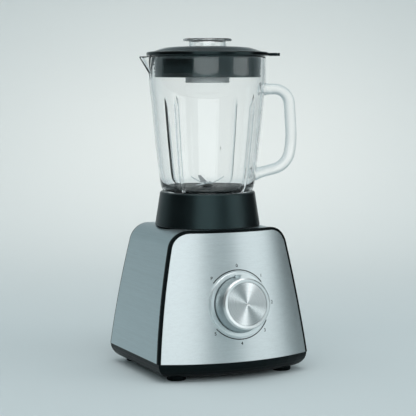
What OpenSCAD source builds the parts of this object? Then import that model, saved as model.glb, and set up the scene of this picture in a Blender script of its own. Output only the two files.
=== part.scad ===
// Countertop blender: motor base, glass jug with screw collar, lid and measuring cap.
// +Z is up, -Y is the front with the speed knob, and the table is at z = 0.

/* [Casing] */
// Width of the casing at its lower edge
casing_w = 195.6; // [194:0.2:197]
// Height of the casing's lower edge above the table
casing_foot = 22; // [21:0.5:23]
// Height of the casing's flat top above the table
casing_top = 174; // [173.5:0.1:174]
// Wall of the casing
casing_wall = 2.4; // [2:0.1:2.8]
// Radius of the two shoulders
shoulder_r = 24; // [22:0.5:26]
// Radius of the bowed sides
side_r = 1230; // [1100:10:1400]
// Lean of the sides at the lower edge
side_lean = 5.92; // [5.5:0.1:6.5]
// Distance from the jug's axis to the middle of the front's lower edge
front_reach = 100; // [98:0.5:102]
// Distance from the jug's axis to the back's lower edge
back_reach = 79; // [78:0.5:80]
// Lean of the front panel at its middle
panel_lean = 9.48; // [9:0.1:10]

/* [Speed knob] */
// Height of the knob's axis where it meets the panel
dial_z = 88; // [86:0.5:90]
// Radius of the knob at its foot
knob_r = 32.3; // [31:0.1:32.5]
// Distance of the knob's face from the panel
knob_reach = 21.5; // [20:0.5:22]

/* [Feet] */
// Radius of a foot
foot_r = 11.3; // [10:0.1:12]
// Sideways distance of a foot from the middle
foot_x = 69.6; // [68:0.2:70]
// Distance of the front feet from the jug's axis
foot_front = 63; // [61:0.5:64]
// Distance of the rear feet from the jug's axis
foot_back = 64.4; // [62:0.2:65]

/* [Jug] */
// Turn of the handle from +X towards the front
handle_turn = 14.2; // [0:0.2:30]
// Height of the jug's rim
rim_z = 378.5; // [378:0.1:378.6]
// Radius of the jug at its rim
rim_r = 71; // [70.5:0.1:71.2]
// Width of each rib on the inside of the jug
rib_w = 5.5; // [4:0.5:7]

/* [Cord outlet] */
// Radius of the hole through the cord gland
gland_r = 3.6; // [3:0.1:4]
// Height of the cord gland's axis
gland_z = 40; // [38:0.5:42]

/* [Hidden] */
$fn = 96;
// The jug's axis stands here, measured from the middle of the whole object's outline
axis_x = -5.6;
axis_y = 17.7;
// Sides and shoulders, seen from the front
side_cx = casing_w / 2 - side_r * cos(side_lean);
side_cz = casing_foot - side_r * sin(side_lean);
shoulder_z = casing_top - shoulder_r;
shoulder_x = side_cx + sqrt(pow(side_r - shoulder_r, 2) - pow(shoulder_z - side_cz, 2));
shoulder_dir = [shoulder_x - side_cx, shoulder_z - side_cz] / (side_r - shoulder_r);
big_fn = 720;
// Front: a leaning cone, so that it bows less at the foot than at the top
cone_half = 15.07;
cone_r = 207;
cone_tilt = cone_half - panel_lean;
cone_y = cone_r * cos(cone_tilt) - front_reach;
cone_z = casing_foot + cone_r * sin(cone_tilt);
cone_down = 70;
cone_up = 190;
// Back: a leaning plane
back_lean = 6.2;
// Front trim and panel, as depths below the front surface
trim_w = 2.5;
trim_proud = 0.7;
trim_depth = 3.4;
panel_skin = [0.1, 1.1];
panel_seat = 1.2;
cover_depth = 2.1;
dial_y = tan(panel_lean) * (dial_z - casing_foot) - front_reach;
// Tray
tray_floor = 5;
tray_curve = 16;
tray_wall = 2.5;
plan_front_r = 211.4;
leg_x = 58;
leg_front = -48;
leg_back = 52;
leg_foot = 12.1;
frame_z = 160;
frame_t = 3;
// Motor
bolt_x = 31;
bolt_y = 26;
damper_at = 28;
core_z = [88, 120];
shaft_r = 4;
bush_gap = 0.05;
blade_shaft_r = 3.5;
// Jug: its inner wall, as [height, radius]
jug_outer = [
    [218.7, 55.7], [221, 56.4], [228.5, 57.9], [252.9, 61], [277.3, 63.8], [301.7, 66.2],
    [326, 68.5], [350, rim_r], [rim_z, rim_r]
];
jug_inner = [
    [218.8, 48.4], [221.5, 50.4], [228.5, 53.5], [252.9, 56.8], [277.3, 59.6], [301.7, 62],
    [326, 64.3], [350, rim_r - 4.2], [rim_z, rim_r - 4]
];
// Handle: centres and radii of its three arcs, and the slope of its lower end
handle_t = 13.2;
handle_w = 15;
handle_top = [83.4, 320.3];
handle_top_r = 19;
handle_lean = 4;
handle_mid = [-15.3, 283.3];
handle_mid_r = 120;
handle_low = [77.3, 267];
handle_low_r = 26;
handle_end = 14;
handle_tail = 33;
neck_r = 52;
neck_bore = 47.8;
neck_z = 201;
rib_heights = [220.5, 228, 240, 255, 275, 295, 318, 326, 334];
rib_depth = 4;

// ---- helpers ----
module piece(shade) color(shade) translate([axis_x, axis_y, 0]) children();

module disc(r, z0, z1) translate([0, 0, z0]) cylinder(h = z1 - z0, r = r);

module tube(r_out, r_in, z0, z1) {
    difference() {
        disc(r_out, z0, z1);
        disc(r_in, z0 - 1, z1 + 1);
    }
}

module turned(points) rotate_extrude() polygon(points);

module block(low, high) translate(low) cube(high - low);

module at_corners(x, y) {
    for (sx = [-1, 1], sy = [-1, 1]) translate([sx * x, sy * y, 0]) children();
}

module at_legs() {
    for (sx = [-1, 1], y = [leg_front, leg_back]) translate([sx * leg_x, y, 0]) children();
}

module ring_of(count, start = 0) {
    for (i = [0:count - 1]) rotate([0, 0, start + i * 360 / count]) children();
}

// +Z of this frame points out of the panel along the knob's axis, and +Y up the panel
module on_dial() translate([0, dial_y, dial_z]) rotate([90 - panel_lean, 0, 0]) children();

// +X of this frame points from the jug's axis to the handle
module on_jug() rotate([0, 0, -handle_turn]) children();

// ---- casing surfaces ----
module half_outline(inset, low) {
    far = 60;
    centre = [shoulder_x, shoulder_z];
    difference() {
        intersection() {
            translate([side_cx, side_cz]) circle(r = side_r - inset, $fn = big_fn);
            translate([-1, low]) square([casing_w, casing_top - inset - low]);
        }
        difference() {
            polygon([centre, centre + far * shoulder_dir, centre + [far, far], centre + [0, far]]);
            translate(centre) circle(r = shoulder_r - inset);
        }
    }
}

module outline(inset, low) {
    half_outline(inset, low);
    mirror([1, 0]) half_outline(inset, low);
}

module prism(inset, low = casing_foot) {
    rotate([90, 0, 0]) linear_extrude(height = 400, center = true) outline(inset, low);
}

module front_cone(inset) {
    shrink = inset / cos(cone_half);
    translate([0, cone_y, cone_z]) rotate([cone_tilt, 0, 0]) translate([0, 0, -cone_down])
        cylinder(h = cone_down + cone_up,
                 r1 = cone_r + cone_down * tan(cone_half) - shrink,
                 r2 = cone_r - cone_up * tan(cone_half) - shrink, $fn = 360);
}

// Everything in front of the leaning back, less the inset
module before_back(inset) {
    translate([0, back_reach, casing_foot]) rotate([back_lean, 0, 0])
        translate([-150, -300 - inset, -80]) cube([300, 300, 300]);
}

// Plan of the casing's foot, as points along the bowed front and the flat back
function plan_points(inset) =
    let (w = casing_w / 2 - inset, n = 12)
    concat(
        [for (i = [0:n]) let (x = -w + 2 * w * i / n)
            [x, plan_front_r - front_reach - sqrt(pow(plan_front_r - inset, 2) - x * x)]],
        [[w, back_reach - inset], [-w, back_reach - inset]]
    );

module slab(inset, z, h = 0.02) translate([0, 0, z]) linear_extrude(height = h) polygon(plan_points(inset));

// ---- base ----
module wrap_shell() piece("silver") difference() {
    intersection() {
        prism(0);
        front_cone(trim_depth + 0.1);
        before_back(cover_depth + 0.1);
    }
    prism(casing_wall, casing_foot - 1);
    disc(50.3, 150, 180);
}

module rear_cover() piece("dimgray") {
    slots = 7;
    slot_pitch = 6;
    slot_h = 2.4;
    slot_w = 64;
    difference() {
        union() {
            difference() {
                intersection() {
                    prism(0.2, casing_foot + 0.1);
                    before_back(0);
                }
                before_back(cover_depth);
            }
            difference() {
                intersection() {
                    prism(casing_wall + 0.2, casing_foot + 5);
                    before_back(cover_depth - 0.1);
                }
                prism(casing_wall + 2.2, casing_foot + 7);
                before_back(cover_depth + 4);
                disc(200, 0, casing_foot + 5);
            }
        }
        for (i = [0:slots - 1])
            translate([-slot_w / 2, 0, 92 + i * slot_pitch]) cube([slot_w, 120, slot_h]);
        translate([0, 40, gland_z]) rotate([-90, 0, 0]) cylinder(h = 80, r = 7);
    }
}

module front_panel() piece("lightsteelblue") difference() {
    intersection() {
        prism(trim_w + 0.1, casing_foot + 0.1);
        front_cone(panel_skin[0]);
    }
    front_cone(panel_skin[1]);
    on_dial() cylinder(h = 20, r = 5.1, center = true);
}

module front_trim() piece("black") difference() {
    intersection() {
        prism(-trim_proud);
        front_cone(0.3);
    }
    front_cone(trim_depth);
    difference() {
        prism(trim_w, casing_foot - 1);
        front_cone(panel_seat);
    }
    prism(7, casing_foot + 5);
}

module tray_solid(inset, low, high) {
    steps = 6;
    depth = casing_foot - low;
    hull() {
        for (i = [1:steps])
            let (a = 90 * i / steps)
            slab(inset + tray_curve * (1 - cos(a)), casing_foot - depth * sin(a));
        slab(inset, high - 0.02);
    }
}

module bottom_tray() piece("black") {
    lip = 4;
    pad_r = foot_r + 2;
    foot_top = 7.4;
    difference() {
        union() {
            difference() {
                tray_solid(0.3, tray_floor, casing_foot - 0.1);
                tray_solid(0.3 + tray_wall, tray_floor + tray_wall, casing_foot + 1);
            }
            difference() {
                translate([0, 0, casing_foot - 5]) linear_extrude(height = 5 + lip)
                    polygon(plan_points(casing_wall + 0.9));
                translate([0, 0, casing_foot - 6]) linear_extrude(height = 8 + lip)
                    polygon(plan_points(casing_wall + 2.6));
                block([-150, -150, 0], [150, -42, 60]);
                block([-150, 42, 0], [150, 150, 60]);
            }
            for (sx = [-1, 1], y = [-foot_front, foot_back])
                translate([sx * foot_x, y, 0]) disc(pad_r - 2.2, foot_top, foot_top + 3);
            at_legs() disc(6, tray_floor, leg_foot - 0.1);
        }
        for (sx = [-1, 1], y = [-foot_front, foot_back])
            translate([sx * foot_x, y, 0]) disc(foot_r, -1, foot_top);
        at_legs() disc(2, 0, 40);
        at_legs() disc(3.8, 0, 7.7);
        ring_of(12) block([14, -1.6, 0], [33, 1.6, 10]);
    }
}

module feet() piece("darkslategray") {
    edge = 1;
    for (sx = [-1, 1], y = [-foot_front, foot_back]) translate([sx * foot_x, y, 0])
        turned([[0, 0], [foot_r - edge, 0], [foot_r, edge], [foot_r, 7.4], [0, 7.4]]);
}

module tray_screws() piece("gainsboro") at_legs() difference() {
    union() {
        disc(3.6, 5.3, 7.6);
        disc(1.9, 7.5, 30);
    }
    block([-0.4, -2.8, 5], [0.4, 2.8, 6.3]);
    block([-2.8, -0.4, 5], [2.8, 0.4, 6.3]);
}

module cord_gland() piece("black") {
    seat_y = back_reach - tan(back_lean) * (gland_z - casing_foot);
    translate([0, seat_y, gland_z]) rotate([-90, 0, 0]) turned([
        [gland_r, -10], [8.8, -10], [8.8, -3.3], [6.9, -3.3], [6.9, 1.1], [9.4, 1.1],
        [9.4, 2], [8.4, 3], [gland_r, 3]
    ]);
}

module inner_frame() piece("slategray") difference() {
    union() {
        block([-66, -56, frame_z], [66, 60, frame_z + frame_t]);
        at_legs() disc(5, leg_foot, frame_z + 1);
        at_legs() disc(8, frame_z - 8, frame_z + 1);
    }
    disc(14, frame_z - 1, frame_z + frame_t + 1);
    at_legs() disc(1.95, leg_foot - 1, 32);
    at_corners(damper_at, damper_at) disc(2.3, frame_z - 1, frame_z + frame_t + 1);
}

module jug_seat() piece("black") {
    union() {
        turned([
            [46.8, 163], [50, 163], [50, 174], [59.5, 174], [59.5, 175.6], [58.7, 176.4],
            [52.6, 176.4], [51.6, 185.8], [50.4, 187], [25, 187], [24, 186], [24, 177],
            [9, 177], [9, 168], [12, 168], [12, 174], [27, 174], [27, 184], [48.6, 184],
            [49.2, 176], [46.8, 174]
        ]);
        ring_of(4, 45) block([50.5, -5, 175.5], [56.5, 5, 183]);
    }
}

module drip_seal() piece("dimgray")
    turned([[4.4, 170], [8.9, 170], [8.9, 177], [10.5, 177.1], [10.5, 177.9], [6, 177.9], [4.4, 175]]);

module dial_bezel() piece("gainsboro") difference() {
    on_dial() turned([[33, -8], [38.3, -8], [38.3, 1], [37.7, 1.6], [33.6, 1.6], [33, 1]]);
    front_cone(panel_skin[0]);
}

module rotary_switch() piece("navajowhite") on_dial() difference() {
    union() {
        block([-15, -15, -27], [15, 15, -4]);
        disc(9, -5, -1.2);
        disc(4.8, -4, 2.9);
        for (x = [-10, -5, 0, 5, 10]) block([x - 1.4, -4, -34], [x + 1.4, -3.2, -26]);
    }
    disc(3.05, -20, 10);
}

module switch_nut() piece("silver") on_dial() difference() {
    translate([0, 0, 0.1]) cylinder(h = 2.2, r = 8, $fn = 6);
    disc(4.85, -1, 5);
}

// ---- motor ----
module motor_dampers() piece("black") at_corners(damper_at, damper_at) difference() {
    turned([[0, 150.1], [6.5, 150.1], [6.5, 152], [5.2, 155], [6.5, 158], [6.5, 159.9], [0, 159.9]]);
    disc(2.15, 140, 170);
}

module damper_screws() piece("gainsboro") at_corners(damper_at, damper_at) {
    disc(2.1, 143.5, 164);
    difference() {
        disc(4, 163.1, 165.6);
        block([-0.4, -3, 164.4], [0.4, 3, 166]);
        block([-3, -0.4, 164.4], [3, 0.4, 166]);
    }
}

module upper_bracket() piece("lightgray") difference() {
    union() {
        disc(14, 142.5, 152);
        rotate([0, 0, 45]) block([-46, -8.5, 147], [46, 8.5, 150]);
        rotate([0, 0, -45]) block([-46, -8.5, 147], [46, 8.5, 150]);
        at_corners(bolt_x, bolt_y) disc(4.8, core_z[1] + 0.1, 150);
    }
    disc(9, 144, 153);
    disc(6.2, 140, 145);
    at_corners(damper_at, damper_at) disc(2.15, 130, 160);
    at_corners(bolt_x, bolt_y) disc(2.1, 110, 146);
}

module lower_bracket() piece("lightgray") difference() {
    union() {
        disc(14, 47, 56);
        rotate([0, 0, atan(bolt_y / bolt_x)]) block([-46, -6, 50], [46, 6, 53]);
        rotate([0, 0, -atan(bolt_y / bolt_x)]) block([-46, -6, 50], [46, 6, 53]);
        at_corners(bolt_x, bolt_y) disc(4.8, 51, core_z[0] - 0.1);
    }
    disc(9, 46, 54);
    disc(6.2, 53, 60);
    at_corners(bolt_x, bolt_y) disc(2.1, 40, 100);
}

module coil_space(grow) {
    intersection() {
        tube(33 + grow, 24.3 - grow, core_z[0] - 8, core_z[1] + 8);
        for (s = [-1, 1]) translate([s * 27, 0, 0])
            block([-17 - grow, -17 - grow, core_z[0] - 9], [17 + grow, 17 + grow, core_z[1] + 9]);
    }
}

module stator_core() piece("darkgray") difference() {
    intersection() {
        block([-38, -33, core_z[0]], [38, 33, core_z[1]]);
        disc(46, 0, 200);
    }
    disc(23.4, 0, 200);
    coil_space(0.15);
    at_corners(bolt_x, bolt_y) disc(2.1, 0, 200);
}

module field_coils() piece("peru") {
    gap = 0.6;
    difference() {
        union() {
            coil_space(0);
            tube(33, 24.3, core_z[1] + 0.2, core_z[1] + 8);
            tube(33, 24.3, core_z[0] - 8, core_z[0] - 0.2);
        }
        block([-50, -gap, 0], [50, gap, 200]);
    }
}

module upper_bearing() piece("goldenrod") tube(9, shaft_r + bush_gap, 144, 151.5);

module lower_bearing() piece("goldenrod") tube(9, shaft_r + bush_gap, 47, 54);

module brush_holders() piece("khaki") for (s = [-1, 1]) difference() {
    union() {
        block([min(s * 13, s * 31), -6, 62], [max(s * 13, s * 31), 6, 76]);
        block([min(s * 24, s * 31), -5, 53.1], [max(s * 24, s * 31), 5, 63]);
    }
    block([min(s * 12, s * 29.5), -3.6, 64.4], [max(s * 12, s * 29.5), 3.6, 73.6]);
}

module carbon_brushes() piece("dimgray") for (s = [-1, 1])
    block([min(s * 11.4, s * 21), -3.5, 64.5], [max(s * 11.4, s * 21), 3.5, 73.5]);

module brush_springs() piece("silver") {
    coil_r = 2.4;
    turns = 4;
    for (s = [-1, 1]) translate([s * 21.2, 0, 69]) rotate([0, s * 90, 0])
        linear_extrude(height = 8.2, twist = -360 * turns, slices = turns * 9, $fn = 9)
            translate([coil_r, 0]) circle(r = 0.5, $fn = 5);
}

module motor_bolts() piece("gainsboro") at_corners(bolt_x, bolt_y) {
    disc(2, 49, 144);
    translate([0, 0, 46.9]) cylinder(h = 3, r = 4, $fn = 6);
}

module fan_shroud() piece("whitesmoke") {
    tube(40.5, 38.3, 7.6, 46.5);
    ring_of(4, 45) block([40, -1.2, 7.6], [46, 1.2, 20]);
}

module terminal_block() piece("ivory") difference() {
    block([-72, 8, 7.6], [-58, 34, 22]);
    for (y = [14, 21, 28]) translate([-65, y, 0]) {
        disc(2.2, 16, 23);
        translate([0, 0, 12]) rotate([0, 90, 0]) cylinder(h = 20, r = 1.6, center = true);
    }
}

module suppression_capacitor() piece("gold") block([56, -4, 7.6], [70, 22, 26]);

// An insulated lead, as a run of straight lengths
module lead(points, r) {
    for (i = [0:len(points) - 2]) hull()
        for (p = [points[i], points[i + 1]]) translate(p) sphere(r = r, $fn = 6);
}

module internal_wiring() piece("firebrick") {
    lead([[-56.5, 14, 12], [-50, 14, 12], [-50, 10, 60], [-50, -30, 75], [-9, -52, 80]], 1.1);
    lead([[-56.5, 28, 12], [-46, 28, 12], [-46, 20, 60], [-36, 4, 69], [-32.4, 0, 69]], 1.1);
    lead([[9, -52, 80], [50, -30, 75], [50, -8, 69], [36, -2, 69], [32.4, 0, 69]], 1.1);
}

// ---- rotor ----
module rotor_shaft() piece("silver") {
    disc(shaft_r, 30, 187.5);
    disc(5.6, 54.6, 57);
    disc(5.6, 140, 143);
}

module armature_core() piece("gray") {
    slots = 12;
    difference() {
        disc(22.8, core_z[0], core_z[1]);
        disc(shaft_r, 0, 200);
        ring_of(slots) translate([18, 0, 0]) disc(2.6, 0, 200);
        ring_of(slots) block([18, -0.7, 0], [25, 0.7, 200]);
    }
}

module armature_windings() piece("sienna") {
    low = core_z[0];
    high = core_z[1];
    turned([[6, low - 9], [15, low - 9], [20.5, low - 4], [20.5, low - 0.1], [6, low - 0.1]]);
    turned([[6, high + 0.1], [20.5, high + 0.1], [20.5, high + 5], [15, high + 10], [6, high + 10]]);
    ring_of(12) translate([18, 0, 0]) disc(2.3, low - 1, high + 1);
}

module commutator() piece("chocolate") difference() {
    disc(11, 61, 78);
    disc(shaft_r, 0, 200);
    ring_of(12, 15) block([9.8, -0.3, 60], [12, 0.3, 76]);
}

module cooling_fan() piece("white") {
    blades = 9;
    difference() {
        union() {
            disc(9, 31, 44);
            disc(36, 42, 43.6);
            ring_of(blades) rotate([0, 0, 20]) translate([7, 0, 0]) rotate([0, 0, 18])
                block([0, -0.8, 32], [28, 0.8, 42.5]);
        }
        disc(shaft_r, 0, 200);
    }
}

// Six-lobed star that the two couplings share
module star(grow, z0, z1) {
    disc(8 + grow, z0, z1);
    ring_of(6) translate([8.8, 0, 0]) disc(2.6 + grow, z0, z1);
}

module drive_coupling() piece("black") difference() {
    union() {
        disc(15, 178.5, 181.5);
        star(0, 181, 190);
    }
    disc(shaft_r, 170, 187.5);
}

// ---- knob ----
module knob_body() piece("silver") on_dial() {
    face = knob_reach;
    difference() {
        union() {
            turned([
                [0, 0.6], [knob_r, 0.6], [knob_r, 2], [30.2, face - 3.4], [29.9, face - 1.6],
                [28.4, face], [25.4, face - 0.3], [25.1, face - 1.4], [0, face - 1.4]
            ]);
            translate([0, 0, 2.4]) linear_extrude(height = face - 4)
                polygon([[-9, 27.6], [-5.4, 31], [-3.8, 34.6], [3.8, 34.6], [5.4, 31], [9, 27.6]]);
        }
        difference() {
            disc(27.6, -1, face - 4);
            disc(6.5, 3.2, face);
        }
        disc(3, -1, face - 4);
    }
}

module knob_inlay() piece("whitesmoke") on_dial()
    turned([[0, knob_reach - 1.3], [25, knob_reach - 1.3], [25, knob_reach - 0.8], [0, knob_reach - 0.5]]);

module switch_spindle() piece("gray") on_dial() difference() {
    disc(3, -18, knob_reach - 4.1);
    block([1.9, -4, 4], [4, 4, knob_reach]);
}

// ---- jug ----
function jug_bore(z) = lookup(z, jug_inner);

// The jug as if it were solid
module jug_full() rotate_extrude() polygon(concat(
    [[0, neck_z], [neck_r, neck_z], [neck_r, 214.4], [53.4, 215.4]],
    [for (p = jug_outer) if (p[0] < rim_z) [p[1], p[0]]],
    [[rim_r, rim_z - 1.3], [rim_r - 1.1, rim_z], [0, rim_z]]
));

// The space inside the jug and its neck
module jug_bore_space() rotate_extrude() polygon(concat(
    [[0, neck_z - 1], [neck_bore, neck_z - 1], [neck_bore, 217.4]],
    [for (p = jug_inner) if (p[0] < rim_z) [p[1], p[0]]],
    [[rim_r - 4, rim_z - 1.3], [rim_r - 2.7, rim_z], [rim_r - 2.7, rim_z + 1], [0, rim_z + 1]]
));

module jug_rib() {
    points = concat(
        [for (z = rib_heights) [jug_bore(z) + 1.5, z]],
        [for (i = [len(rib_heights) - 1:-1:0]) let (z = rib_heights[i])
            [jug_bore(z) - (z > 320 ? rib_depth * (334 - z) / 14 : rib_depth), z]]
    );
    rotate([90, 0, 0]) linear_extrude(height = rib_w, center = true) polygon(points);
}

// Points of an arc about a centre, from one angle to another
function arc(centre, r, from, to, n = 8) =
    [for (i = [0:n]) let (a = from + (to - from) * i / n) centre + r * [cos(a), sin(a)]];

// One edge of the handle, k outside its middle line, in the plane of the jug's axis
function handle_edge(k) = concat(
    [[60, handle_top[1] + handle_top_r + k]],
    arc(handle_top, handle_top_r + k, 90, handle_lean),
    arc(handle_mid, handle_mid_r + k, handle_lean, -10, 4),
    arc(handle_low, handle_low_r + k, -10, handle_end - 90),
    [handle_low + (handle_low_r + k) * [sin(handle_end), -cos(handle_end)]
        - handle_tail * [cos(handle_end), sin(handle_end)]]
);

function reversed(list) = [for (i = [len(list) - 1:-1:0]) list[i]];

module jug_handle() rotate([90, 0, 0]) linear_extrude(height = handle_w, center = true)
    polygon(concat(handle_edge(handle_t / 2), reversed(handle_edge(-handle_t / 2))));

module jug_glass() piece("lightcyan") on_jug() {
    difference() {
        union() {
            jug_full();
            jug_handle();
            translate([-rim_r, 0, 357]) cylinder(h = 21, r1 = 0.6, r2 = 13.4);
        }
        jug_bore_space();
        translate([-rim_r, 0, 359.4]) cylinder(h = 21, r1 = 0.1, r2 = 12.2);
    }
    ring_of(4, 45) jug_rib();
}

module jug_collar() piece("black") union() {
    turned([
        [61.2, 174.3], [63.4, 174.3], [64, 175], [58.05, 214], [57, 215.2], [53, 215.2],
        [53, 196.2], [48.5, 196.2], [48.5, 193.2], [57.6, 193.2], [58.4, 192.4]
    ]);
    ring_of(4) block([54, -4, 180], [58.8, 4, 194]);
}

module jug_gasket() piece("gray") tube(52.4, 47.5, 199.05, 200.95);

module blade_holder() piece("black") turned([
    [52.5, 196.3], [52.5, 199], [47.2, 199], [47.2, 218], [46.4, 218.8], [43, 218.8], [42, 218.2],
    [8, 218.2], [6.4, 219.2], [4.6, 219.2], [4.6, 194.5], [11, 194.5], [11.6, 214.8],
    [44.2, 215.2], [44.6, 196.3]
]);

module blade_bushes() piece("goldenrod") {
    tube(4.6, blade_shaft_r + bush_gap, 195, 203);
    tube(4.6, blade_shaft_r + bush_gap, 210.5, 218.6);
}

module shaft_seal() piece("darkred") tube(4.6, blade_shaft_r + 0.1, 204.5, 209);

// ---- blades ----
module blade_shaft() piece("silver") {
    disc(blade_shaft_r, 190.7, 225.2);
    turned([[0, 225.1], [4.6, 225.1], [4, 226], [0, 226.4]]);
}

// One arm: flat root, then a swept tip of the given rise
module blade_arm(turn, root, tip, rise, z) {
    w0 = 4.6;
    w1 = 2;
    t = 1.3;
    rotate([0, 0, turn]) intersection() {
        translate([0, 0, z]) rotate([90, 0, 0]) linear_extrude(height = 20, center = true)
            polygon([[0, 0], [root, 0], [tip, rise], [tip, rise + t], [root, t], [0, t]]);
        linear_extrude(height = 300)
            polygon([[0, -w0], [root, -w0], [tip, -w1], [tip, w1], [root, w0], [0, w0]]);
    }
}

module blade_plate(z, arms) difference() {
    union() {
        disc(6.2, z, z + 1.3);
        for (a = arms) blade_arm(a[0], 7, a[1], a[2], z);
    }
    disc(blade_shaft_r, 180, 240);
}

module upper_blades() piece("whitesmoke") blade_plate(223.7, [[-25, 20, 8.6], [155, 20, 8.6]]);

module lower_blades() piece("gainsboro") blade_plate(222.3, [[92, 22, 9.8], [209, 22, -2.6]]);

module blade_boss() piece("silver") difference() {
    turned([[0, 219.4], [4.2, 219.4], [6, 221], [6.2, 222.2], [0, 222.2]]);
    disc(blade_shaft_r, 200, 230);
}

module driven_coupling() piece("black") difference() {
    disc(16, 182.3, 193);
    star(0.4, 180, 190.6);
    disc(blade_shaft_r, 180, 200);
}

module retaining_clip() piece("gray") tube(6, blade_shaft_r, 193.2, 194.1);

// ---- lid ----
module lid_cover() piece("black") on_jug() {
    turned([
        [23.4, 353.4], [27.4, 353.4], [27.4, 388], [39, 387.6], [51, 386.4], [57.8, 384.5],
        [57.8, 356], [60.4, 356], [60.4, 379.1], [73.2, 379.1], [74, 380], [74, 383],
        [73, 383.9], [66, 384.6], [57.7, 387.5], [51.6, 389.2], [39.4, 390.3], [27, 390.9],
        [24.2, 390.9], [23.4, 390.1]
    ]);
    difference() {
        union() {
            block([66, -9.5, 379.6], [82.6, 9.5, 383.2]);
            for (y = [-2.5, 2.5]) translate([82.6, y, 0]) disc(7, 379.6, 383.2);
        }
        disc(70, 370, 390);
    }
}

module lid_seal() piece("dimgray") turned([
    [60.5, 353.5], [64.2, 353.5], [64.6, 354.2], [64.6, 357], [63.4, 357.2], [63.4, 358],
    [64.7, 358.2], [64.8, 361.2], [63.6, 361.4], [63.6, 362.2], [64.9, 362.4], [65, 366.2],
    [63.8, 366.4], [63.8, 367.2], [65.1, 367.4], [65.1, 370], [63.9, 370.2], [63.9, 371],
    [65.2, 371.2], [65.2, 379], [60.5, 379]
]);

module filler_collar() piece("lightgray") turned([
    [20.4, 347], [26, 347], [26.8, 347.8], [26.8, 353.3], [23.3, 353.3], [23.3, 348.9], [20.4, 348.9]
]);

module measuring_cap() piece("azure") turned([
    [20.3, 349.2], [22.6, 349.2], [22.6, 396.4], [28.8, 397], [29.5, 397.6], [29.5, 399.3],
    [28.9, 400], [0, 400], [0, 397.6], [20.3, 397.6]
]);

wrap_shell();
rear_cover();
front_panel();
front_trim();
bottom_tray();
feet();
tray_screws();
cord_gland();
inner_frame();
jug_seat();
drip_seal();
dial_bezel();
rotary_switch();
switch_nut();
motor_dampers();
damper_screws();
upper_bracket();
lower_bracket();
stator_core();
field_coils();
upper_bearing();
lower_bearing();
brush_holders();
carbon_brushes();
brush_springs();
motor_bolts();
fan_shroud();
terminal_block();
suppression_capacitor();
internal_wiring();
rotor_shaft();
armature_core();
armature_windings();
commutator();
cooling_fan();
drive_coupling();
knob_body();
knob_inlay();
switch_spindle();
jug_glass();
jug_collar();
jug_gasket();
blade_holder();
blade_bushes();
shaft_seal();
blade_shaft();
upper_blades();
lower_blades();
blade_boss();
driven_coupling();
retaining_clip();
lid_cover();
lid_seal();
filler_collar();
measuring_cap();
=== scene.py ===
import math

import bmesh
import bpy
from mathutils import Matrix, Vector
from mathutils.bvhtree import BVHTree


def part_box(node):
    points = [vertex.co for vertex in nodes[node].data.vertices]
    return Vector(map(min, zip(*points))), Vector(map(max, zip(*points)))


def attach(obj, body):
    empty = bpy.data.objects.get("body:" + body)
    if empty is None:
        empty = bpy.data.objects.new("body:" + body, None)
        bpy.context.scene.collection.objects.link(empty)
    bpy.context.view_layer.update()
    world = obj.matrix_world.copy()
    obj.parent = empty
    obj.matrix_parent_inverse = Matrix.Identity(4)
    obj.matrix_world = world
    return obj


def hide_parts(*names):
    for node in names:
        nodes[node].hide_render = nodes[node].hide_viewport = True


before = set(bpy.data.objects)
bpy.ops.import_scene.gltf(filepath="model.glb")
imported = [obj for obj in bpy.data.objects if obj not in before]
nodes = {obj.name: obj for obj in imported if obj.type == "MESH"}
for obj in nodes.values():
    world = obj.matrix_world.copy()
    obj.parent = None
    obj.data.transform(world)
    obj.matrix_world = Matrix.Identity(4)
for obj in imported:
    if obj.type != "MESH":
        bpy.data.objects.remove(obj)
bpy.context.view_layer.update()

# Lengths are in millimetres about the jug's axis, and MM turns them into metres.
MM = 0.001
scene = bpy.context.scene


def box_middle(node):
    low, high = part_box(node)
    return (low + high) / 2


AXIS = Vector((box_middle("jug_collar").x, box_middle("jug_collar").y, 0.0))
PANEL_LEAN = math.radians(9.48)
HANDLE_TURN = math.radians(-14.2)
DIAL = box_middle("dial_bezel")


def spot(x, y, z):
    """A point given in millimetres about the jug's axis, in the frame's metres."""
    return AXIS + Vector((x, y, z)) * MM


# ---- camera ----
CAMERA_AZIMUTH = math.radians(-24.996)
CAMERA_PITCH = math.radians(5.06)
CAMERA_YAW = math.radians(0.024)
CAMERA_DISTANCE = 1676.3
CAMERA_HEIGHT = 342.8


def make_camera():
    data = bpy.data.cameras.new("camera")
    data.sensor_width = 36.0
    data.lens = 119.0
    data.clip_start = 0.05
    data.clip_end = 50.0
    camera = bpy.data.objects.new("camera", data)
    scene.collection.objects.link(camera)
    camera.location = spot(
        math.sin(CAMERA_AZIMUTH) * CAMERA_DISTANCE,
        -math.cos(CAMERA_AZIMUTH) * CAMERA_DISTANCE,
        CAMERA_HEIGHT,
    )
    camera.rotation_euler = (math.pi / 2 - CAMERA_PITCH, 0.0, CAMERA_AZIMUTH - CAMERA_YAW)
    scene.camera = camera


make_camera()


# ---- materials ----
BLACK = (0.003, 0.004, 0.0045)
# A painted cool tint for reflections on the blacks: the reflections are real, their teal colour is
# painted light
PAINTED_COOL_TINT = (0.62, 0.97, 1.0, 1.0)


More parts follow.
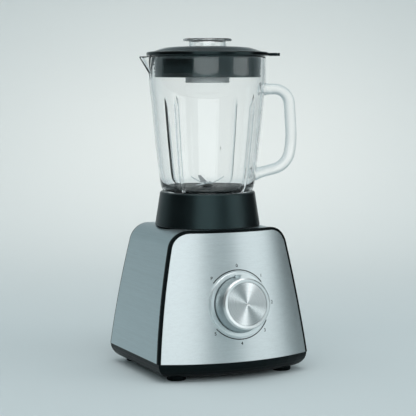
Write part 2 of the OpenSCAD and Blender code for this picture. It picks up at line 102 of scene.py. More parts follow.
class Shader:
    """A Principled material with helpers for the patterns that the finishes share."""

    def __init__(self, name, color, roughness, metallic=0.0, **sockets):
        self.material = bpy.data.materials.new(name)
        self.material.use_nodes = True
        self.tree = self.material.node_tree
        self.bsdf = self.tree.nodes["Principled BSDF"]
        self.set("Base Color", (*color, 1.0))
        self.set("Roughness", roughness)
        self.set("Metallic", metallic)
        self.color = color
        self.roughness = roughness
        self.bump_end = None
        for key, value in sockets.items():
            self.set(key.replace("_", " "), value)

    def cool(self):
        """Gives a black's real reflections a painted cool tint, standing in for the colour of the
        light.
        """
        self.set("Specular Tint", PAINTED_COOL_TINT)
        return self

    def set(self, socket, value):
        self.bsdf.inputs[socket].default_value = value

    def node(self, kind, **inputs):
        node = self.tree.nodes.new(kind)
        for key, value in inputs.items():
            node.inputs[key.replace("_", " ")].default_value = value
        return node

    def link(self, out, into):
        self.tree.links.new(out, into)

    def place(self, stretch=(1, 1, 1), origin=None, turn=None):
        """Object coordinates, stretched, or seen from a frame of its own."""
        source = self.node("ShaderNodeTexCoord").outputs["Object"]
        if origin is not None:
            local = self.node("ShaderNodeMapping", Location=origin, Rotation=turn)
            local.vector_type = "TEXTURE"
            self.link(source, local.inputs["Vector"])
            source = local.outputs["Vector"]
        mapping = self.node("ShaderNodeMapping", Scale=stretch)
        self.link(source, mapping.inputs["Vector"])
        return mapping.outputs["Vector"]

    def noise(self, vector, scale, detail=3.0):
        node = self.node("ShaderNodeTexNoise", Scale=scale, Detail=detail)
        self.link(vector, node.inputs["Vector"])
        return node.outputs["Fac"]

    def ramp(self, value, low, high, start=0.3, end=0.7):
        """Maps a pattern's value onto a range, clamped."""
        node = self.node("ShaderNodeMapRange", From_Min=start, From_Max=end, To_Min=low, To_Max=high)
        self.link(value, node.inputs["Value"])
        return node.outputs["Result"]

    def math(self, operation, *values):
        node = self.tree.nodes.new("ShaderNodeMath")
        node.operation = operation
        for socket, value in zip(node.inputs, values):
            if isinstance(value, (int, float)):
                socket.default_value = value
            else:
                self.link(value, socket)
        return node.outputs["Value"]

    def blend_colors(self, value, first, second, start=0.3, end=0.7):
        """The base colour runs from the first colour to the second as the pattern rises."""
        mix = self.tree.nodes.new("ShaderNodeMix")
        mix.data_type = "RGBA"
        self.link(self.ramp(value, 0.0, 1.0, start, end), mix.inputs[0])
        mix.inputs[6].default_value = (*first, 1.0)
        mix.inputs[7].default_value = (*second, 1.0)
        self.link(mix.outputs[2], self.bsdf.inputs["Base Color"])

    def vary_color(self, value, dark, light, start=0.3, end=0.7):
        """The base colour runs from dark to light times itself as the pattern rises."""
        first, second = ([min(1.0, c * k) for c in self.color] for k in (dark, light))
        self.blend_colors(value, first, second, start, end)

    def vary_roughness(self, value, spread):
        low = max(0.02, self.roughness - spread)
        high = min(1.0, self.roughness + spread)
        self.link(self.ramp(value, low, high), self.bsdf.inputs["Roughness"])

    def bump(self, value, strength, distance=0.1):
        """Raises the surface by the pattern, on top of any bump before it."""
        node = self.node("ShaderNodeBump", Strength=strength, Distance=distance * MM)
        self.link(value, node.inputs["Height"])
        if self.bump_end is not None:
            self.link(self.bump_end, node.inputs["Normal"])
        self.bump_end = node.outputs["Normal"]
        self.link(self.bump_end, self.bsdf.inputs["Normal"])

    def grain_along(self, vector):
        """Brushed grain along a fixed direction, so that lights streak across it."""
        node = self.tree.nodes.new("ShaderNodeCombineXYZ")
        for socket, value in zip(node.inputs, vector):
            socket.default_value = value
        self.link(node.outputs["Vector"], self.bsdf.inputs["Tangent"])
        self.set("Anisotropic Rotation", 0.25)


def moulded(name, color, roughness, grain=0.25, grain_size=0.5, tint=0.08, **sockets):
    """Moulded plastic or rubber: cloudy tone, uneven gloss and a fine spark-eroded grain."""
    shader = Shader(name, color, roughness, **sockets)
    cloud = shader.noise(shader.place(), 35.0)
    shader.vary_color(cloud, 1.0 - tint, 1.0 + tint)
    shader.vary_roughness(cloud, 0.04)
    fine = shader.noise(shader.place(), 1.0 / (grain_size * MM), 2.0)
    shader.bump(fine, grain, 0.05)
    return shader


def machined(name, color, roughness, stretch=(1, 1, 1), size=0.6, tint=0.07, depth=0.2, **sockets):
    """Turned, drawn or stamped metal: streaks of tone and gloss along the stretch."""
    shader = Shader(name, color, roughness, metallic=1.0, **sockets)
    streaks = shader.noise(shader.place(stretch), 1.0 / (size * MM), 4.0)
    shader.vary_color(streaks, 1.0 - tint, 1.0 + tint)
    shader.vary_roughness(streaks, 0.05)
    shader.bump(streaks, depth, 0.02)
    return shader


def brushed(name, color, roughness, direction, across, anisotropic, depth=0.25):
    """Brushed sheet: long fine lines along a direction, in tone, gloss and relief."""
    shader = Shader(name, color, roughness, metallic=1.0, Anisotropic=anisotropic)
    fine = shader.noise(shader.place(across), 2200.0, 4.0)
    broad = shader.noise(shader.place(across), 420.0, 3.0)
    both = shader.math("MULTIPLY_ADD", fine, 0.6, shader.math("MULTIPLY", broad, 0.4))
    shader.vary_color(both, 0.93, 1.05, 0.35, 0.65)
    shader.vary_roughness(both, 0.04)
    shader.bump(both, depth, 0.012)
    shader.grain_along(direction)
    return shader


# The colour of the painted highlight on the knob's rim face
PAINTED_RIM_HIGHLIGHT = (0.78, 0.815, 0.815)
# The angles in degrees of the painted highlight wedges on the knob's inlay
HIGHLIGHT_WEDGE_ANGLES = (77, 147)


def paint_wedge_highlights(shader, local, peaks, power, dark, light):
    """Painted highlight: bright wedges through the middle, in the base colour, where a disc turned on a
    lathe would reflect the lights.

    The peaks are angles in degrees, and a higher power narrows the wedges.
    """
    parts = shader.tree.nodes.new("ShaderNodeSeparateXYZ")
    shader.link(local, parts.inputs["Vector"])
    angle = shader.math("ARCTAN2", parts.outputs["Y"], parts.outputs["X"])
    total = None
    for peak in peaks:
        turned = shader.math("SUBTRACT", angle, math.radians(peak))
        lobe = shader.math("POWER", shader.math("ABSOLUTE", shader.math("COSINE", turned)), power)
        total = lobe if total is None else shader.math("MAXIMUM", total, lobe)
    shader.vary_color(total, dark, light, 0.0, 1.0)


def spun(name, color, roughness, anisotropic, origin, rings=1400.0, wedges=False, cut=None):
    """Spun metal: rings about the knob's axis, with the streaks that they draw from lights, and painted
    highlight wedges in the base colour when asked.

    Above the cut, as a height along the axis, the colour is a painted highlight, bright as a lit rim.
    """
    shader = Shader(name, color, roughness, metallic=1.0, Anisotropic=anisotropic)
    local = shader.place(origin=origin, turn=(math.pi / 2 - PANEL_LEAN, 0, 0))
    flat = shader.node("ShaderNodeVectorMath")
    flat.operation = "MULTIPLY"
    flat.inputs[1].default_value = (1.0, 1.0, 0.0)
    shader.link(local, flat.inputs[0])
    length = shader.node("ShaderNodeVectorMath")
    length.operation = "LENGTH"
    shader.link(flat.outputs["Vector"], length.inputs[0])
    ring_noise = shader.node("ShaderNodeTexNoise", Scale=rings, Detail=3.0)
    ring_noise.noise_dimensions = "1D"
    shader.link(length.outputs["Value"], ring_noise.inputs["W"])
    ring_value = ring_noise.outputs["Fac"]
    if wedges:
        # Painted highlight: bright wedges in the base colour, fixed to the knob
        paint_wedge_highlights(shader, local, HIGHLIGHT_WEDGE_ANGLES, 22.0, 0.6, 1.42)
    elif cut is not None:
        # Painted highlight: the knob's rim above the cut height is coloured bright
        parts = shader.tree.nodes.new("ShaderNodeSeparateXYZ")
        shader.link(local, parts.inputs["Vector"])
        shader.blend_colors(parts.outputs["Z"], color, PAINTED_RIM_HIGHLIGHT, cut, cut + 0.0002)
    else:
        shader.vary_color(ring_value, 0.93, 1.04)
    shader.vary_roughness(ring_value, 0.03)
    shader.bump(ring_value, 0.25, 0.01)
    away = shader.node("ShaderNodeVectorMath")
    away.operation = "SUBTRACT"
    away.inputs[1].default_value = origin
    shader.link(shader.node("ShaderNodeNewGeometry").outputs["Position"], away.inputs[0])
    shader.link(away.outputs["Vector"], shader.bsdf.inputs["Tangent"])
    return shader


def clear(name, color, roughness=0.0, ior=1.5, ripple=0.02, ripple_size=30.0):
    """Clear glass or plastic with a very slight ripple from the mould."""
    shader = Shader(name, color, roughness, Transmission_Weight=1.0, IOR=ior)
    wave = shader.noise(shader.place(), 1.0 / (ripple_size * MM), 1.0)
    shader.vary_color(wave, 0.995, 1.0)
    shader.bump(wave, ripple, 1.0)
    return shader


ALONG_X = (1, 60, 60)
ALONG_Z = (60, 60, 1)
SHADERS = {
    "casing_silver": brushed("casing_silver", (0.56, 0.64, 0.665), 0.4, (0, 1, 0),
                             (1.0, 0.02, 1.0), 0.45),
    "rear_plastic": moulded("rear_plastic", (0.045, 0.052, 0.056), 0.5),
    "panel_steel": brushed("panel_steel", (0.66, 0.71, 0.72), 0.42, (1, 0, 0),
                           (0.02, 1.0, 1.0), 0.8),
    "trim_black": moulded("trim_black", BLACK, 0.3, 0.03,
                          Specular_IOR_Level=0.04).cool(),
    "black_plastic": moulded("black_plastic", BLACK, 0.36, 0.1, 0.35,
                             Specular_IOR_Level=0.45).cool(),
    "lid_black": moulded("lid_black", BLACK, 0.16, 0.03, 0.4,
                         Specular_IOR_Level=0.25).cool(),
    "foot_rubber": moulded("foot_rubber", BLACK, 0.5, 0.4, 0.7,
                           Specular_IOR_Level=0.05).cool(),
    "seal_rubber": moulded("seal_rubber", (0.006, 0.0075, 0.008), 0.2, 0.03).cool(),
    "gasket_silicone": moulded("gasket_silicone", (0.55, 0.56, 0.55), 0.5, 0.1),
    "fastener_steel": machined("fastener_steel", (0.62, 0.64, 0.65), 0.3),
    "frame_plastic": moulded("frame_plastic", (0.2, 0.23, 0.25), 0.55),
    "bezel_chrome": spun("bezel_chrome", (0.78, 0.83, 0.835), 0.36, 0.3, DIAL),
    "switch_resin": moulded("switch_resin", (0.6, 0.5, 0.34), 0.5),
    "bracket_aluminium": machined("bracket_aluminium", (0.6, 0.62, 0.63), 0.42),
    "lamination_steel": machined("lamination_steel", (0.34, 0.35, 0.36), 0.45, (1, 1, 60), 0.5),
    "copper_winding": machined("copper_winding", (0.62, 0.26, 0.12), 0.35, ALONG_Z, 0.8, 0.18, 0.6),
    "bearing_bronze": machined("bearing_bronze", (0.55, 0.36, 0.16), 0.4),
    "brush_brass": machined("brush_brass", (0.66, 0.5, 0.22), 0.33),
    "brush_carbon": moulded("brush_carbon", (0.03, 0.03, 0.032), 0.7, 0.4),
    "spring_steel": machined("spring_steel", (0.5, 0.51, 0.52), 0.3, ALONG_X),
    "fan_plastic": moulded("fan_plastic", (0.66, 0.67, 0.66), 0.5),
    "terminal_plastic": moulded("terminal_plastic", (0.58, 0.58, 0.54), 0.5),
    "capacitor_yellow": moulded("capacitor_yellow", (0.62, 0.47, 0.06), 0.35),
    "wire_insulation": moulded("wire_insulation", (0.1, 0.13, 0.3), 0.45),
    "shaft_steel": machined("shaft_steel", (0.6, 0.62, 0.63), 0.22, ALONG_Z, 0.5),
    "coupling_rubber": moulded("coupling_rubber", (0.03, 0.032, 0.035), 0.55, 0.4),
    # The knob's bright rim face is a painted highlight
    "knob_silver": spun("knob_silver", (0.46, 0.52, 0.535), 0.34, 0.3, DIAL, 900.0, cut=0.0172),
    # The inlay's bright wedges are painted highlights on top of its real anisotropic streaks
    "knob_aluminium": spun("knob_aluminium", (0.7, 0.745, 0.755), 0.27, 0.85, DIAL, wedges=True),
    "jug_clear_glass": clear("jug_clear_glass", (0.998, 1.0, 0.999), ior=1.4),
    "blade_steel": machined("blade_steel", (0.66, 0.69, 0.7), 0.22, ALONG_X, 0.4, 0.05),
    "collar_translucent": moulded("collar_translucent", (0.9, 0.94, 0.95), 0.35, 0.1,
                                  Transmission_Weight=0.85),
    "cap_clear": clear("cap_clear", (0.97, 0.98, 0.98), 0.03, 1.49),
}

# Two nodes have a gloss of their own within their slot
TRAY_BLACK = moulded("tray_black", BLACK, 0.34, 0.06, Specular_IOR_Level=0.12).cool()
HOLDER_GLOSS = moulded("holder_gloss", (0.002, 0.003, 0.0035), 0.25, 0.01,
                       Specular_IOR_Level=0.05).cool()


def finish_nodes():
    """Gives every CAD node the finish of its material slot."""
    for obj in nodes.values():
        for place in obj.material_slots:
            slot = place.material.name.split(".")[0]
            place.material = SHADERS[slot].material
    nodes["blade_holder"].material_slots[0].material = HOLDER_GLOSS.material
    nodes["bottom_tray"].material_slots[0].material = TRAY_BLACK.material


def smooth_radius(points, height):
    """A radius between the [height, radius] points, on a smooth curve through them."""
    if height <= points[0][0]:
        return points[0][1]
    if height >= points[-1][0]:
        return points[-1][1]
    i = next(k for k in range(len(points) - 1) if points[k + 1][0] >= height)
    (z0, r0), (z1, r1) = points[i], points[i + 1]

    def slope(k):
        before, after = points[max(k - 1, 0)], points[min(k + 1, len(points) - 1)]
        return (after[1] - before[1]) / (after[0] - before[0])

    span = z1 - z0
    t = (height - z0) / span
    return (
        (1 + 2 * t) * (1 - t) ** 2 * r0 + t * (1 - t) ** 2 * span * slope(i)
        + t * t * (3 - 2 * t) * r1 + t * t * (t - 1) * span * slope(i + 1)
    )


def ease(value):
    """A smooth step from 0 to 1."""
    value = max(0.0, min(1.0, value))
    return value * value * (3 - 2 * value)


SHARP_ANGLE = math.radians(35)


def make_object(name, mesh, material):
    obj = bpy.data.objects.new(name, mesh)
    scene.collection.objects.link(obj)
    mesh.materials.clear()
    mesh.materials.append(material)
    mesh.shade_smooth()
    mesh.set_sharp_from_angle(angle=SHARP_ANGLE)
    return obj


def mesh_from(name, vertices, faces):
    mesh = bpy.data.meshes.new(name)
    mesh.from_pydata([tuple(v) for v in vertices], [], faces)
    builder = bmesh.new()
    builder.from_mesh(mesh)
    bmesh.ops.recalc_face_normals(builder, faces=builder.faces)
    builder.to_mesh(mesh)
    builder.free()
    return mesh


def grid_faces(rows, columns, closed_rows, closed_columns):
    """Quads over a grid of points kept row by row."""
    faces = []
    for i in range(rows if closed_rows else rows - 1):
        for j in range(columns if closed_columns else columns - 1):
            a, b = i * columns, ((i + 1) % rows) * columns
            k = (j + 1) % columns
            faces.append((a + j, a + k, b + k, b + j))
    return faces


def union(name, keep, tool):
    """The union of two objects as a new mesh; both objects are removed."""
    modifier = keep.modifiers.new("union", "BOOLEAN")
    modifier.operation = "UNION"
    modifier.solver = "EXACT"
    modifier.object = tool
    bpy.context.view_layer.update()
    graph = bpy.context.evaluated_depsgraph_get()
    mesh = bpy.data.meshes.new_from_object(keep.evaluated_get(graph))
    mesh.name = name
    for obj in (keep, tool):
        bpy.data.objects.remove(obj)
    return mesh


# ---- jug ----
# The wall's outside and inside, as height and radius
JUG_OUTER = [
    (218.7, 55.7), (221, 56.4), (228.5, 57.9), (252.9, 61), (277.3, 63.8), (301.7, 66.2),
    (326, 68.5), (350, 71), (378.5, 71),
]
JUG_INNER = [
    (218.8, 48.4), (221.5, 50.4), (228.5, 53.5), (252.9, 56.8), (277.3, 59.6), (301.7, 62),
    (326, 64.3), (350, 66.8), (378.5, 67),
]
RIM_Z = 378.5
RIM_ROUND = 2.0
NECK_R = 52.0
NECK_BORE = 47.8
NECK_Z = 201.0
RIB_ANGLES = [45, 135, 225, 315]
RIB_HALF = 2.6
RIB_DEPTH = 4.0
RIB_FOOT = 219.5
# The heights where a rib starts to fade and where it ends
RIB_TOP = (316.0, 334.5)
SPOUT_FOOT = 357.0
SPOUT_REACH = 13.2
SPOUT_ANGLE = 180.0
# The heights of the wall's rings below the spout
WALL_HEIGHTS = [
    219.5, 221, 223, 225.5, 228.5, 233, 240, 248, 256, 266, 276, 286, 296, 306, 314, 318,
    321, 324, 326, 328, 330, 332, 334.5, 339, 345, 350,
]


def rib_height(angle, height):
    """How far a rib stands into the jug at an angle in degrees from the handle."""
    if height < RIB_FOOT or height > RIB_TOP[1]:
        return 0.0
    gap = min(abs(angle - a) for a in RIB_ANGLES) / RIB_HALF
    if gap >= 1:
        return 0.0
    fade = ease((height - RIB_TOP[0]) / (RIB_TOP[1] - RIB_TOP[0]))
    return max(0.0, RIB_DEPTH * (math.sqrt(1 - gap * gap) - fade))


def spout_swell(angle, height, reach):
    """How far the wall bulges outwards into the spout."""
    rise = (height - SPOUT_FOOT) / (RIM_Z - SPOUT_FOOT)
    if rise <= 0:
        return 0.0
    width = 3.0 + 12.5 * rise
    gap = abs(angle - SPOUT_ANGLE) / width
    if gap >= 1:
        return 0.0
    return reach * rise * math.cos(gap * math.pi / 2) ** 1.6


def jug_angles():
    """Angles from the handle in degrees, closer together at the ribs and the spout."""
    angles = {float(a) for a in range(0, 360, 3)}
    for middle in RIB_ANGLES:
        angles = {a for a in angles if abs(a - middle) > RIB_HALF}
        for i in range(-8, 9):
            angles.add(round(middle + RIB_HALF * math.sin(i / 8 * math.pi / 2), 4))
        angles |= {middle - 1.3 * RIB_HALF, middle + 1.3 * RIB_HALF}
    angles |= {SPOUT_ANGLE + 0.75 * i for i in range(-22, 23)}
    return sorted(angles)


def jug_section():
    """The jug's section as (radius, height, outside) from the neck up, over the rim and down."""
    heights = WALL_HEIGHTS + [SPOUT_FOOT + i * 1.6 for i in range(13)]
    neck_outside = [
        (NECK_R - 0.6, NECK_Z), (NECK_R, NECK_Z + 0.6), (NECK_R, 214.2), (NECK_R + 0.5, 215.0),
        (53.6, 215.5), (54.9, 216.8),
    ]
    neck_inside = [
        (NECK_BORE + 0.2, 218.2), (NECK_BORE, 217.4), (NECK_BORE, NECK_Z + 0.6),
        (NECK_BORE + 0.6, NECK_Z),
    ]
    middle = JUG_OUTER[-1][1] - RIM_ROUND
    rim = [
        (middle + RIM_ROUND * math.cos(a), RIM_Z - RIM_ROUND + RIM_ROUND * math.sin(a))
        for a in (math.pi * i / 10 for i in range(1, 10))
    ]
    outer = neck_outside + [(smooth_radius(JUG_OUTER, z), z) for z in heights] + rim[:4]
    inner = rim[4:] + [(smooth_radius(JUG_INNER, z), z) for z in reversed(heights)] + neck_inside
    return [(r, z, True) for r, z in outer] + [(r, z, False) for r, z in inner]


def on_jug(radius, angle, height):
    """A point at an angle in degrees from the handle."""
    turn = HANDLE_TURN + math.radians(angle)
    return spot(radius * math.cos(turn), radius * math.sin(turn), height)


def jug_body():
    angles = jug_angles()
    points = []
    section = jug_section()
    for radius, height, outside in section:
        for angle in angles:
            reach = SPOUT_REACH if outside else SPOUT_REACH - 0.4
            r = radius + spout_swell(angle, height, reach)
            if not outside:
                r -= rib_height(angle, height)
            points.append(on_jug(r, angle, height))
    return mesh_from("jug_body", points, grid_faces(len(section), len(angles), True, True))


def arc(centre, radius, start, end, count):
    """Points along an arc, angles in degrees, without the first one."""
    return [
        (centre[0] + radius * math.cos(math.radians(a)), centre[1] + radius * math.sin(math.radians(a)))
        for a in (start + (end - start) * i / count for i in range(1, count + 1))
    ]


# The handle's half thickness and half width, then the centres and radii of its three arcs
HANDLE_HALF = (6.6, 7.5)
HANDLE_TOP = (83.4, 320.3)
HANDLE_TOP_R = 19.0
HANDLE_BACK = (-15.3, 283.3)
HANDLE_BACK_R = 120.0
HANDLE_LOW = (77.3, 267.0)
HANDLE_LOW_R = 26.0
# Where its upper and lower roots sit in the jug's wall, and the slope of its lower end
HANDLE_ROOTS = (69.0, 58.2)
HANDLE_SLOPE = 14.0


def handle_path():
    """The handle's middle line as (radius, height), from the upper root to the lower one."""
    slope = math.radians(HANDLE_SLOPE)
    low_end = (
        HANDLE_LOW[0] + HANDLE_LOW_R * math.sin(slope),
        HANDLE_LOW[1] - HANDLE_LOW_R * math.cos(slope),
    )
    reach = HANDLE_TOP[0] - HANDLE_ROOTS[0]
    path = [(HANDLE_ROOTS[0] + reach * i / 8, HANDLE_TOP[1] + HANDLE_TOP_R) for i in range(9)]
    path += arc(HANDLE_TOP, HANDLE_TOP_R, 90, 4, 16)
    path += arc(HANDLE_BACK, HANDLE_BACK_R, 4, -10, 10)
    path += arc(HANDLE_LOW, HANDLE_LOW_R, -10, HANDLE_SLOPE - 90, 14)
    fall = (low_end[0] - HANDLE_ROOTS[1]) * math.tan(slope)
    path += [
        (low_end[0] + (HANDLE_ROOTS[1] - low_end[0]) * t, low_end[1] - fall * t)
        for t in [0.15, 0.3, 0.45, 0.6, 0.7, 0.8, 0.87, 0.94, 1.0]
    ]
    return path


def rounded_section(half_out, half_side, count=36, power=2.7):
    """Points of a rounded oblong, as (outwards, sideways)."""
    points = []
    for i in range(count):
        a = 2 * math.pi * i / count
        c, s = math.cos(a), math.sin(a)
        points.append((
            half_out * math.copysign(abs(c) ** (2 / power), c),
            half_side * math.copysign(abs(s) ** (2 / power), s),
        ))
    return points


def handle_tube():
    """The handle: a rounded oblong carried along its middle line, wider at both roots."""
    path = handle_path()
    count = 36
    points = []
    travelled = [0.0]
    for a, b in zip(path, path[1:]):
        travelled.append(travelled[-1] + math.dist(a, b))
    total = travelled[-1]
    for i, (radius, height) in enumerate(path):
        before, after = path[max(i - 1, 0)], path[min(i + 1, len(path) - 1)]
        along = Vector((after[0] - before[0], after[1] - before[1])).normalized()
        normal = Vector((-along.y, along.x))
        root = min(travelled[i], total - travelled[i])
        flare = 1 + 0.22 * math.exp(-max(0.0, root - 2.0) / 2.6)
        for out, side in rounded_section(HANDLE_HALF[0] * flare, HANDLE_HALF[1] * flare, count):
            at = Vector((radius, height)) + normal * out
            if i in (0, len(path) - 1):
                at.y += (radius - at.x) * along.y / along.x
                at.x = radius
            points.append(spot(
                at.x * math.cos(HANDLE_TURN) - side * math.sin(HANDLE_TURN),
                at.x * math.sin(HANDLE_TURN) + side * math.cos(HANDLE_TURN),
                at.y,
            ))
    faces = grid_faces(len(path), count, False, True)
    faces.append(tuple(range(count)))
    faces.append(tuple(reversed(range((len(path) - 1) * count, len(path) * count))))
    return mesh_from("jug_handle", points, faces)


# The moulded scale lines, as height and the first and last angle from the handle
GRADUATIONS = [
    (324, 267, 281), (306.5, 273, 281), (289, 267, 281), (272, 273, 281), (255, 267, 281),
    (239, 273, 281), (223.5, 267, 281),
    (311, 238, 252), (296, 238, 246), (281, 238, 252), (270.5, 238, 246), (260, 238, 252),
    (244, 238, 246),
]
# A line's half height, by which it also stands out, and how deep in the wall it starts
MARK_HALF = 0.28
MARK_SUNK = 0.6


def graduation_marks():
    """Low moulded lines on the outside of the jug, sunk a little into its wall."""
    points, faces = [], []
    ring = [
        (-MARK_SUNK, -MARK_HALF), (MARK_HALF, -MARK_HALF),
        (MARK_HALF, MARK_HALF), (-MARK_SUNK, MARK_HALF),
    ]
    steps = 7
    for height, first, last in GRADUATIONS:
        start = len(points)
        for i in range(steps + 1):
            angle = first + (last - first) * i / steps
            for out, up in ring:
                z = height + up
                points.append(on_jug(smooth_radius(JUG_OUTER, z) + out, angle, z))
        faces += [tuple(start + k for k in face) for face in grid_faces(steps + 1, 4, False, True)]
        faces.append((start, start + 1, start + 2, start + 3))
        end = start + steps * 4
        faces.append((end + 3, end + 2, end + 1, end))
    return mesh_from("graduation_marks", points, faces)


def make_jug():
    glass = SHADERS["jug_clear_glass"].material
    body = make_object("jug_body", jug_body(), glass)
    handle = make_object("jug_handle", handle_tube(), glass)
    held = make_object("jug_held", union("jug_held", body, handle), glass)
    marks = make_object("jug_marks", graduation_marks(), glass)
    jug = make_object("glass_jug", union("glass_jug", held, marks), glass)
    jug.visible_shadow = False
    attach(jug, "jug")
    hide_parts("jug_glass")


# ---- printed marks round the dial ----
def dial_matrix():
    """From the dial's own frame, +Z out of the panel and +Y up it, to the row frame."""
    return Matrix.Translation(DIAL) @ Matrix.Rotation(math.pi / 2 - PANEL_LEAN, 4, "X")


def panel_tree():
    obj = nodes["front_panel"]
    return BVHTree.FromObject(obj, bpy.context.evaluated_depsgraph_get())


def lay_on_panel(flat, tree, proud=0.05, sunk=0.05):
    """Turns a flat bmesh in the dial's frame into a thin solid that follows the panel."""
    frame_matrix = dial_matrix()
    outwards = (frame_matrix.to_3x3() @ Vector((0, 0, 1))).normalized()
    geometry = bmesh.ops.extrude_face_region(flat, geom=flat.faces[:])
    raised = {v for v in geometry["geom"] if isinstance(v, bmesh.types.BMVert)}
    for vertex in flat.verts:
        start = frame_matrix @ Vector((vertex.co.x, vertex.co.y, 0.1))
        hit = tree.ray_cast(start, -outwards)[0]
        vertex.co = hit + outwards * ((proud if vertex in raised else -sunk) * MM)
    bmesh.ops.recalc_face_normals(flat, faces=flat.faces)


def dial_arc(flat, radius, width, start, end):
    """A band of an arc, angles in degrees clockwise from the top."""
    steps = max(2, int(abs(end - start) / 2))
    rows = []
    for i in range(steps + 1):
        a = math.radians(start + (end - start) * i / steps)
        rows.append([
            flat.verts.new((r * MM * math.sin(a), r * MM * math.cos(a), 0))
            for r in (radius - width / 2, radius + width / 2)
        ])
    for (a, b), (c, d) in zip(rows, rows[1:]):
        flat.faces.new((a, b, d, c))


def dial_digit(flat, character, angle, radius, size):
    curve = bpy.data.curves.new("digit", "FONT")
    curve.body = character
    curve.size = size * MM
    curve.align_x = "CENTER"
    curve.align_y = "CENTER"
    curve.resolution_u = 4
    curve.offset = 0.09 * MM
    holder = bpy.data.objects.new("digit", curve)
    mesh = bpy.data.meshes.new_from_object(holder)
    a = math.radians(angle)
    mesh.transform(Matrix.Translation((radius * MM * math.sin(a), radius * MM * math.cos(a), 0)))
    flat.from_mesh(mesh)
    bpy.data.objects.remove(holder)
    bpy.data.meshes.remove(mesh)


# The marks round the dial and their angles, clockwise from the top
DIAL_MARKS = {"P": -45, "0": 0, "1": 45, "2": 90, "3": 135, "4": 180, "5": 225}
DIGIT_R = 45.6
DIGIT_SIZE = 5.4
# The first and last angles of the two arcs
DIAL_ARCS = ((-49, 52), (120, 229))
ARC_R = 40.6
ARC_WIDTH = 1.15


def make_dial_marks():
    tree = panel_tree()
    ink = moulded("dial_ink", BLACK, 0.6, 0.05, Specular_IOR_Level=0.1).material
    arcs = bmesh.new()
    for start, end in DIAL_ARCS:
        dial_arc(arcs, ARC_R, ARC_WIDTH, start, end)
    digits = bmesh.new()
    for character, angle in DIAL_MARKS.items():
        dial_digit(digits, character, angle, DIGIT_R, DIGIT_SIZE)
    for name, flat in (("dial_arcs", arcs), ("dial_digits", digits)):
        bmesh.ops.remove_doubles(flat, verts=flat.verts, dist=1e-6)
        lay_on_panel(flat, tree)
        mesh = bpy.data.meshes.new(name)
        flat.to_mesh(mesh)
        flat.free()
        piece = make_object(name, mesh, ink)
        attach(piece, "base")


# ---- stage and light ----
FLOOR_R = 1000.0
SWEEP_R = 1900.0
WALL_TOP = 2600.0
GLOW_BEARING = math.radians(155.0)
# The painted glow's full and faded distances, in metres
PAINTED_GLOW_NEAR_FAR = (0.2, 1.7)
# The paper's colour, and its colour in the painted glow on the wall behind the object
PAPER = (0.62, 0.695, 0.71)
PAINTED_WALL_GLOW = (0.8, 0.816, 0.795)


def behind(distance, height):
    """A point behind the object on the glow's bearing, in millimetres."""
    return (math.sin(GLOW_BEARING) * distance, -math.cos(GLOW_BEARING) * distance, height)


def make_stage():
    """A pale floor that sweeps up into a round wall, seen the same from every side, with a painted glow
    on the wall behind the object.
    """
    profile = [(200.0, 0.0), (500.0, 0.0), (800.0, 0.0), (FLOOR_R, 0.0)]
    profile += [
        (FLOOR_R + SWEEP_R * math.sin(a), SWEEP_R * (1 - math.cos(a)))
        for a in (math.pi / 2 * i / 24 for i in range(1, 25))
    ]
    profile.append((FLOOR_R + SWEEP_R, WALL_TOP))
    count = 128
    points = [
        spot(r * math.cos(2 * math.pi * i / count), r * math.sin(2 * math.pi * i / count), z)
        for r, z in profile for i in range(count)
    ]
    faces = grid_faces(len(profile), count, False, True)
    faces.append(tuple(reversed(range(count))))
    shader = Shader("studio_paper", PAPER, 0.75)
    shader.set("Specular IOR Level", 0.2)
    # Painted light: the paper turns to the glow colour near a point on the wall behind the object
    away = shader.node("ShaderNodeVectorMath")
    away.operation = "DISTANCE"
    away.inputs[1].default_value = spot(*behind(1900, 200))
    shader.link(shader.node("ShaderNodeNewGeometry").outputs["Position"], away.inputs[0])
    shader.blend_colors(away.outputs["Value"], PAINTED_WALL_GLOW, PAPER, *PAINTED_GLOW_NEAR_FAR)
    floor = make_object("studio_sweep", mesh_from("studio_sweep", points, faces), shader.material)


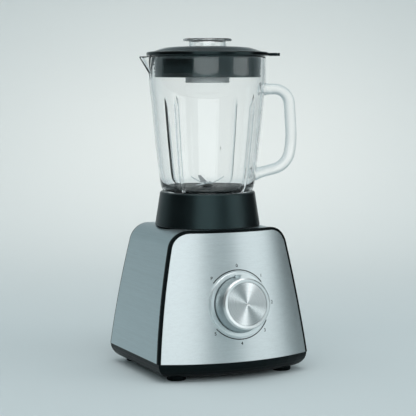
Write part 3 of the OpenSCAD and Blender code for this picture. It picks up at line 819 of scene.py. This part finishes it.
def softbox(name, bearing, distance, height, width, tall, radiance, target=(0, 0, 190), spread=180.0):
    """A rectangular light at a bearing in degrees, 0 in front and 90 to the right.

    The lengths are in millimetres, and the target is a point about the jug's axis.
    """
    data = bpy.data.lights.new(name, "AREA")
    data.shape = "RECTANGLE"
    data.size = width * MM
    data.size_y = tall * MM
    data.energy = radiance * math.pi * data.size * data.size_y
    data.spread = math.radians(spread)
    lamp = bpy.data.objects.new(name, data)
    scene.collection.objects.link(lamp)
    b = math.radians(bearing)
    lamp.location = spot(math.sin(b) * distance, -math.cos(b) * distance, height)
    lamp.rotation_euler = (spot(*target) - lamp.location).to_track_quat("-Z", "Y").to_euler()
    lamp.visible_camera = False


def flag(name, bearing, distance, height, width, tall, through_glass=False):
    """A black card that the camera doesn't see; it darkens what shines from its side."""
    card = bmesh.new()
    bmesh.ops.create_grid(card, x_segments=1, y_segments=1, size=0.5)
    mesh = bpy.data.meshes.new(name)
    card.to_mesh(mesh)
    card.free()
    mesh.transform(Matrix.Diagonal((width * MM, tall * MM, 1, 1)))
    obj = make_object(name, mesh, Shader(name, (0.02, 0.025, 0.027), 0.9).material)
    b = math.radians(bearing)
    obj.location = spot(math.sin(b) * distance, -math.cos(b) * distance, height)
    obj.rotation_euler = (spot(0, 0, height) - obj.location).to_track_quat("-Z", "Y").to_euler()
    obj.visible_camera = False
    obj.visible_shadow = False
    obj.visible_diffuse = False
    obj.visible_transmission = through_glass


def make_lights():
    world = bpy.data.worlds.new("studio")
    world.use_nodes = True
    background = world.node_tree.nodes["Background"]
    background.inputs["Color"].default_value = (0.9, 0.96, 0.98, 1.0)
    background.inputs["Strength"].default_value = 0.5
    scene.world = world
    softbox("key_left", -27, 1900, 640, 1700, 1300, 1.55)
    softbox("fill_right", 44, 1900, 640, 1220, 1300, 1.36)
    softbox("top", -20, 300, 1900, 1600, 1600, 1.7)
    softbox("wall_glow", 155, 1250, 1700, 700, 500, 3.6, behind(1800, 60), 110)
    flag("flag_right", 95, 1100, 350, 1170, 1400)
    flag("flag_left", -88, 1100, 350, 1500, 1400)
    flag("flag_high", -88, 1080, 620, 1500, 560, True)
    softbox("side_left", -155, 900, 1300, 500, 700, 0.4)


def set_colours():
    scene.view_settings.view_transform = "Standard"
    scene.view_settings.look = "None"
    scene.view_settings.exposure = 0.0
    scene.view_settings.gamma = 1.0


finish_nodes()
make_jug()
make_dial_marks()
make_stage()
make_lights()
set_colours()
